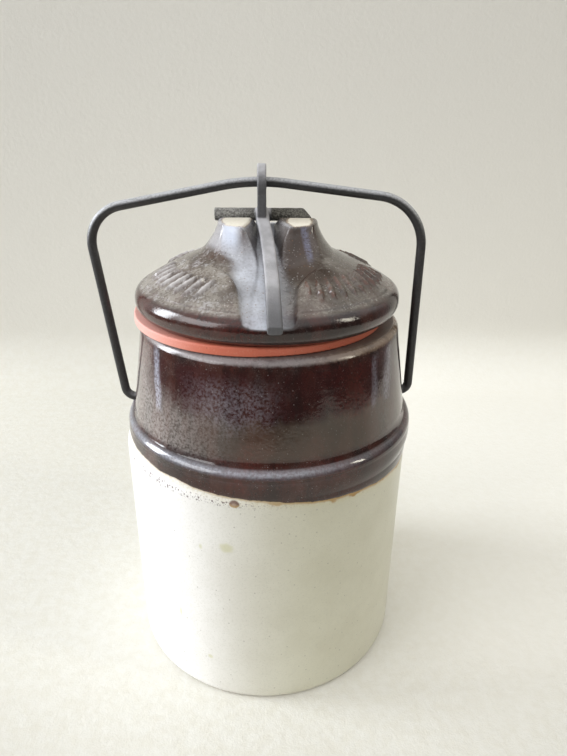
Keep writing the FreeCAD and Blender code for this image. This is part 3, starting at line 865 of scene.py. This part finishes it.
def lidHeight(graph, x, y, top):
    # lowest of the turned top and the three pressed floors, with softened edges
    c = carving
    aside = graph.size(x)
    width = graph.ease(y, *c["grooveNarrows"], c["grooveFront"], c["grooveBack"])
    width = width + graph.ease(y, *c["grooveShank"]) * c["grooveRoom"]
    beside = graph.size(x - graph.ease(y, *c["grooveBends"], c["grooveShift"], c["grooveTurn"]))
    groove = y * c["slope"] + c["grooveFloor"] + graph.most(beside - width, 0.0) * c["grooveWall"]
    fan = c["fanFront"] + graph.ease(y, *c["fanSwells"]) * c["fanSwell"]
    fan = fan + graph.ramp(y, *c["fanOpens"]) ** c["fanCurve"] * c["fanSpread"]
    turned = y - graph.most(aside - c["faceFlat"], 0.0) * c["faceTurn"]
    faceEnd = c["faceStart"] + c["faceReach"]
    bend = graph.ramp(turned, c["faceStart"], faceEnd)
    face = (1.0 - graph.maths("SQRT", graph.most(1.0 - bend * bend, 0.0))) * c["faceHeight"]
    past = graph.most(turned - faceEnd, 0.0) * c["facePast"]
    dish = y * c["slope"] + c["fanFloor"] + face + past
    dish = dish + graph.most(aside - fan, 0.0) * c["fanWall"]
    seat = c["seatFloor"] - (y - c["seatFront"]) * c["seatFall"]
    seat = seat + graph.most(c["seatFront"] - y, 0.0) * c["seatWall"]
    height = graph.least(top, lidSizes["hubTop"] + graph.least(y, 0.0) * c["topTilt"])
    for floor, blend in ((dish, "fanBlend"), (groove, "grooveBlend"), (seat, "seatBlend")):
        height = graph.maths("SMOOTH_MIN", height, floor, c[blend])
    return height


def lidTree():
    tree, graph, source, keys = formTree("pressed lid", {
        "Around": ("Int", 64),
        "Points": ("Int", 10),
        "Shift": ("Float", 0.0),
        "Wobble": ("Float", 0.0),
        "Leaf Height": ("Float", 0.0),
        "Material": ("Material", None),
    })
    grid, angle, r, z = turnedGrid(graph, source)
    cosine = graph.maths("COSINE", angle)
    sine = graph.maths("SINE", angle)
    radius = r / mm
    top = z / mm
    wobble = source.also("Wobble") / mm
    flat = graph.join(radius * cosine, radius * sine, top)
    uneven = (graph.noise(flat, 0.045, 2.0) - 0.5) * 2.0 * graph.ease(radius, *lidSizes["still"])
    relief = leafRelief(graph, angle, radius)
    plain = top + uneven * wobble + relief * (source.also("Leaf Height") / mm)
    pressed = lidHeight(graph, radius * cosine, radius * sine, plain)
    height = top + (pressed - top) * graph.ease(top, *lidSizes["topStart"])
    recess = graph.ease(top - height, *lidSizes["recessDepth"])
    grown = radius + uneven * wobble
    place = graph.join(grown * cosine * mm + source.also("Shift"), grown * sine * mm, height * mm)
    for name, value in (("relief", relief * (1.0 - recess)), ("recess", recess)):
        grid = graph.add("GeometryNodeStoreNamedAttribute", {"data_type": "FLOAT", "domain": "POINT"},
                         {"Geometry": grid, "Name": name, "Value": value})
    endTree(graph, source, turnedWall(graph, grid, place))
    return tree, keys


wornTops = {                     # bare clay on the hub's two horns
    "horns": ((-10.3, 5.6), (11.7, 4.7)),       # x of each middle, and half its width
    "middle": -4.0,
    "deep": 8.6,
    "level": (176.15, 176.5),
}

cleanPatches = [                 # wiped spots where the dark glaze shows through the dust
    ((12.0, -19.0, 170.0), 9.5),
    ((13.5, -25.5, 164.5), 8.5),
    ((-21.5, -13.0, 168.0), 9.0),
    ((24.0, 30.0, 160.0), 9.0),
]


def domeDust(shader, color, worn, relief, broad, fine, broken, clean):
    # a tan film with grit, thicker on the left as painted light, chalk on the left and leaf strokes,
    # pale on the left with dust and painted light, ruddy on the right
    up = shader.ease(shader.up, 0.25, 0.92)
    crown = shader.ease(shader.z, 153.4, 154.9)
    edge = shader.ease(shader.z, 159.0, 154.8) * 0.22
    dustFilmAndLight = up * (shader.ease(broad, 0.34, 0.66) * 0.46 + 0.15 + edge) * (crown * 0.90 + 0.02)
    dustFilmAndLight = dustFilmAndLight * (shader.ease(fine, 0.25, 0.62) * 0.5 + 0.5) * (1.0 - worn)
    # the layer is heavier on the left and thinner on the right, which also paints the light from the
    # left
    dustFilmAndLight = dustFilmAndLight * shader.ease(shader.x, 44.0, -30.0, 0.72, 1.25) * (1.0 - clean * 0.85)
    color = shader.blend(shader.least(dustFilmAndLight, 0.95), color, (0.390, 0.362, 0.318, 1.0))
    grit = shader.dots(0.9, 0.17, 0.34) + shader.dots(0.5, 0.14, 0.40) + shader.dots(1.7, 0.2, 0.2)
    color = shader.blend(shader.least(grit, 1.0) * up * crown * 0.62, color, (0.74, 0.72, 0.70, 1.0))
    chalk = shader.patches(0.26, 3.0, 0.7, 0.50, 0.62)
    chalk = chalk * shader.ease(fine, 0.36, 0.62) * up * crown * shader.ease(shader.x, -4.0, -22.0)
    color = shader.blend(chalk * 0.50, color, (0.62, 0.61, 0.63, 1.0))
    # dust and painted light: the leaf strokes paler on the left
    lit = relief * shader.ease(shader.x, 4.0, -16.0) * shader.ease(broad, 0.25, 0.52)
    color = shader.blend(lit * 0.70, color, (0.64, 0.62, 0.62, 1.0))
    ruddy = relief * shader.ease(shader.x, 2.0, 12.0) * broken
    return shader.blend(ruddy * 0.55, color, (0.15, 0.055, 0.036, 1.0)), dustFilmAndLight


def recessDust(shader, color, recess, broad, fine, clean):
    # pale blue powder in the fan and the groove, heavier on the left where it also paints glare, a
    # painted highlight on the left face, painted rim light on the left side of the hub, a painted
    # reflection streak and rust
    x, z = shader.x, shader.z
    face = shader.ease(z, 165.0, 168.5)                 # the right hollow face stays clean
    powder = recess * shader.ease(shader.up, 0.25, 0.92) * (shader.ease(broad, 0.3, 0.7) * 0.3 + 0.62)
    powder = powder * (1.0 - clean)
    powder = powder * shader.ease(shader.size(x + 1.5) - face * 8.0, 12.0, 7.0)
    # the powder is heavier on the left, where it also paints the glare
    powder = powder * shader.ease(x + (broad - 0.5) * 6.0, 7.0, 1.5, 0.38, 1.0)
    powder = powder * (shader.ease(fine, 0.2, 0.6) * 0.4 + 0.6)
    color = shader.blend(powder, color, (0.665, 0.70, 0.775, 1.0))
    # painted highlight: a bluish-white reflection of the window on the left hollow face
    paintedHighlight = recess * shader.ease(z, 166.5, 172.5) * shader.ease(x + fine, -7.5, -11.5)
    color = shader.blend(paintedHighlight * 0.75, color, (0.74, 0.81, 0.96, 1.0))
    # painted rim light: the hub's left side paler where the light grazes it
    paintedRimLight = shader.ease(x, -12.8, -16.4) * shader.ease(z, 166.6, 169.8)
    paintedRimLight = paintedRimLight * shader.ease(shader.y + broad * 6.0, 12.0, 2.0) * shader.ease(fine, 0.10, 0.50)
    color = shader.blend(paintedRimLight * 0.55, color, (0.62, 0.62, 0.66, 1.0))
    # painted reflection: a bluish upright streak on the right hollow face
    rightFaceReflection = shader.size(x - 13.0 - (174.0 - z) * 0.22)
    rightFaceReflection = shader.ease(rightFaceReflection, 1.8, 0.3) * shader.ease(z, 163.5, 167.5)
    rightFaceReflection = rightFaceReflection * recess * shader.ease(fine, 0.25, 0.60)
    color = shader.blend(rightFaceReflection * 0.55, color, (0.24, 0.26, 0.40, 1.0))
    rust = recess * shader.dots(0.8, 0.24, 0.22)
    return shader.blend(rust * 0.5, color, (0.20, 0.09, 0.035, 1.0)), powder


def bareTops(shader, color, broad, fine):
    spots = 0.0
    level = shader.z - shader.least(shader.y, 0.0) * carving["topTilt"]
    bare = shader.ease(level + (fine - 0.5) * 0.9, *wornTops["level"])
    bare = bare * shader.ease(shader.up, 0.50, 0.80)
    deep = (shader.y - wornTops["middle"]) / wornTops["deep"]
    for middle, wide in wornTops["horns"]:
        across = (shader.x - middle) / wide
        reach = shader.maths("SQRT", across * across + deep * deep)
        reach = reach + (fine - 0.5) * 0.5 + (broad - 0.5) * 0.5
        spots = spots + shader.ease(reach, 1.08, 0.82)
    bare = bare * shader.least(spots, 1.0)
    clay = shader.blend(fine, (0.74, 0.68, 0.54, 1.0), (0.90, 0.87, 0.78, 1.0))
    clay = shader.blend(shader.ease(bare, 0.95, 0.25), clay, (0.50, 0.30, 0.14, 1.0))
    return shader.blend(bare, color, clay), bare


def lidMaterial():
    shader = Shader("dusty lid glaze")
    relief = shader.attribute("relief")
    recess = shader.attribute("recess")
    fine = shader.noise(shader.place, 1.1, 4.0, 0.65)
    broad = shader.noise(shader.place, 0.10, 4.0, 0.6)
    broken = shader.patches(0.45, 3.0, 0.7, 0.42, 0.60)
    worn = relief * (1.0 - relief) * 4.0 * broken * 0.6         # the sides of the leaf strokes
    clean = 0.0
    for centre, radius in cleanPatches:
        gap = shader.apart(shader.place, centre) + (broad - 0.5) * 5.0 + (fine - 0.5) * 3.0
        clean = clean + shader.ease(gap, radius * 1.15, radius * 0.55)
    clean = shader.least(clean, 1.0)
    color, rough, height = brownGlaze(shader, worn, 0.15)
    color = shader.blend(shader.ease(shader.z, 155.0, 158.0) * 0.6, color,
                         (0.050, 0.030, 0.018, 1.0))
    color, dustFilmAndLight = domeDust(shader, color, worn, relief, broad, fine, broken, clean)
    color, powder = recessDust(shader, color, recess, broad, fine, clean)
    color, bare = bareTops(shader, color, broad, fine)
    rough = shader.least(rough + dustFilmAndLight * 0.45 + powder * 0.5 + bare * 0.6, 0.92)
    height = height * 0.10 + fine * 0.05 + bare * 0.15
    return shader.finish({"Specular IOR Level": 0.5, "IOR": 1.6},
                         {"Base Color": color, "Roughness": rough}, height, 1.0)


def makeLid(material):
    tree, keys = lidTree()
    lid = turnedPiece("glazed_lid", lidOutline(), tree, keys, {
        "Around": lidSizes["around"] + 1,
        "Points": len(lidOutline()),
        "Shift": lidSizes["shift"] * mm,
        "Wobble": lidSizes["wobble"] * mm,
        "Leaf Height": leaves["height"] * mm,
        "Material": material,
    })
    smoothShade(lid, 50.0)
    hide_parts("lid")
    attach(lid, "jar")


def rubberMaterial():
    shader = Shader("brick red rubber")
    broad = shader.noise(shader.place, 0.07, 3.0, 0.6)
    fine = shader.noise(shader.place, 1.6, 4.0, 0.7)
    color = shader.blend(broad, (0.54, 0.125, 0.070, 1.0), (0.64, 0.185, 0.115, 1.0))
    color = shader.blend(shader.ease(fine, 0.52, 0.78) * 0.5, color, (0.66, 0.34, 0.25, 1.0))
    # dust and painted light: the ring paler on the left, where the light falls
    chalkAndLight = shader.ease(shader.x, -16.0, -48.0) * (fine * 0.6 + 0.5)
    color = shader.blend(chalkAndLight * 0.75, color, (0.90, 0.60, 0.55, 1.0))
    # painted shade: the ring darker along its lower edge, where it sits on the jar's mouth
    paintedShadeBelow = shader.ease(shader.z + fine * 0.6, 142.2, 141.6)
    color = shader.blend(paintedShadeBelow * 0.75, color, (0.09, 0.035, 0.025, 1.0))
    color = shader.blend(shader.dots(0.9, 0.20, 0.25) * 0.5, color, (0.16, 0.05, 0.035, 1.0))
    return shader.finish({"Specular IOR Level": 0.35}, {
        "Base Color": color,
        "Roughness": 0.52 + fine * 0.18}, fine, 0.08)


def wireMaterial():
    shader = Shader("blackened iron wire")
    broad = shader.noise(shader.place, 0.08, 3.0, 0.6)
    fine = shader.noise(shader.place, 1.4, 4.0, 0.7)
    color = shader.blend(fine, (0.030, 0.030, 0.030, 1.0), (0.090, 0.088, 0.090, 1.0))
    rust = shader.ease(broad, 0.56, 0.72) * shader.ease(fine, 0.45, 0.70)
    color = shader.blend(rust * 0.6, color, (0.10, 0.045, 0.022, 1.0))
    # dust and painted highlight: the upward faces paler, most on the top bar
    dust = shader.ease(shader.up, -0.05, 0.85) * (shader.ease(fine, 0.30, 0.65) * 0.40 + 0.32)
    dust = dust * shader.ease(shader.z, 150.0, 182.0, 0.35, 1.0)
    color = shader.blend(shader.least(dust * 1.7, 0.95), color, (0.54, 0.55, 0.57, 1.0))
    return shader.finish({"Specular IOR Level": 0.5}, {
        "Base Color": color,
        "Metallic": 0.60 - dust * 0.5,
        "Roughness": 0.30 + fine * 0.2 + dust * 0.25}, fine, 0.10)


leverSizes = {
    "bow": 1.1,                  # the arm is bent a little to one side
    "bowSpan": 0.85,             # the part of a half wave that the bend follows
    "bowEarly": 0.7,             # below 1 it is strongest nearer the hub
    "armTop": -5.4,
    "armReach": 47.1,
    "voxel": 0.28,
    "smoothing": 6,
    "smoothFactor": 0.5,
    "roughness": 0.10,
    "barHeight": 177.7,
    "barDepth": 3.1,
    "barRadius": 2.9,
}


def castMaterial():
    shader = Shader("dusty cast iron")
    broad = shader.noise(shader.place, 0.12, 3.0, 0.6)
    fine = shader.noise(shader.place, 1.7, 4.0, 0.7)
    across = shader.apart(shader.place, (0.0, leverSizes["barDepth"], leverSizes["barHeight"]),
                          (0.0, 1.0, 1.0))
    bar = shader.ease(across, leverSizes["barRadius"] + 0.5, leverSizes["barRadius"])
    bar = bar * shader.ease(shader.size(shader.x + 1.3), 2.6, 3.4)
    color = shader.blend(fine, (0.085, 0.085, 0.090, 1.0), (0.17, 0.17, 0.18, 1.0))
    dust = shader.ease(shader.up, -0.05, 0.85) * (shader.ease(broad, 0.25, 0.7) * 0.35 + 0.40)
    dust = dust * shader.ease(shader.y, -50.0, -30.0, 0.05, 1.30)
    color = shader.blend(shader.least(dust, 0.9), color, (0.52, 0.515, 0.535, 1.0))
    pits = shader.ease(fine, 0.40, 0.62)
    dark = shader.blend(pits, (0.070, 0.067, 0.056, 1.0), (0.250, 0.240, 0.205, 1.0))
    dusty = shader.ease(shader.x, -2.0, -13.0) * 0.80 + 0.15
    dark = shader.blend(dusty * (pits * 0.7 + 0.3) * shader.ease(shader.up, -0.9, 0.2), dark,
                        (0.58, 0.57, 0.54, 1.0))
    color = shader.blend(bar, color, dark)
    return shader.finish({"Specular IOR Level": 0.5}, {
        "Base Color": color,
        "Metallic": (0.40 - dust * 0.4) * (1.0 - bar),
        "Roughness": 0.42 + fine * 0.18 + bar * 0.30}, fine + bar * pits * 1.5, 0.12)


def makeLever(material):
    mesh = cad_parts["lever"].data.copy()
    piece = objectFrom("lever copy", mesh)
    outwardNormals(piece)
    remesh = piece.modifiers.new("remesh", "REMESH")
    remesh.mode = "VOXEL"
    remesh.voxel_size = leverSizes["voxel"] * mm
    smooth = piece.modifiers.new("smooth", "SMOOTH")
    smooth.factor = leverSizes["smoothFactor"]
    smooth.iterations = leverSizes["smoothing"]
    lever = plainMesh(piece, "cast_lever")
    s = leverSizes
    normals = [vertex.normal.copy() for vertex in lever.data.vertices]
    for vertex, normal in zip(lever.data.vertices, normals):
        place = vertex.co / mm
        along = min(max((s["armTop"] - place.y) / s["armReach"], 0.0), 1.0)
        vertex.co.x += s["bow"] * mm * math.sin(s["bowSpan"] * math.pi * along ** s["bowEarly"])
        push = noise.noise(place * 0.45) * 0.6 + noise.noise(place * 1.3) * 0.4
        vertex.co += normal * (push * s["roughness"] * mm)
        vertex.co.z = min(vertex.co.z, cadBox[1][2])
    dress(lever.data, material)
    smoothShade(lever, 60.0)
    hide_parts("lever")
    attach(lever, "lever")


def finishNode(name, material):
    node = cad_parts[name]
    dress(node.data, material)
    node.data.shade_smooth()


makeCamera()
makeLamps()
makeWorld()
makeStage()
print("camera, light and set made")
makeJar(jarMaterial())
print("jar made")
makeLid(lidMaterial())
print("lid made")
makeLever(castMaterial())
finishNode("gasket", rubberMaterial())
finishNode("bail", wireMaterial())
print("ring, wire and lever made")
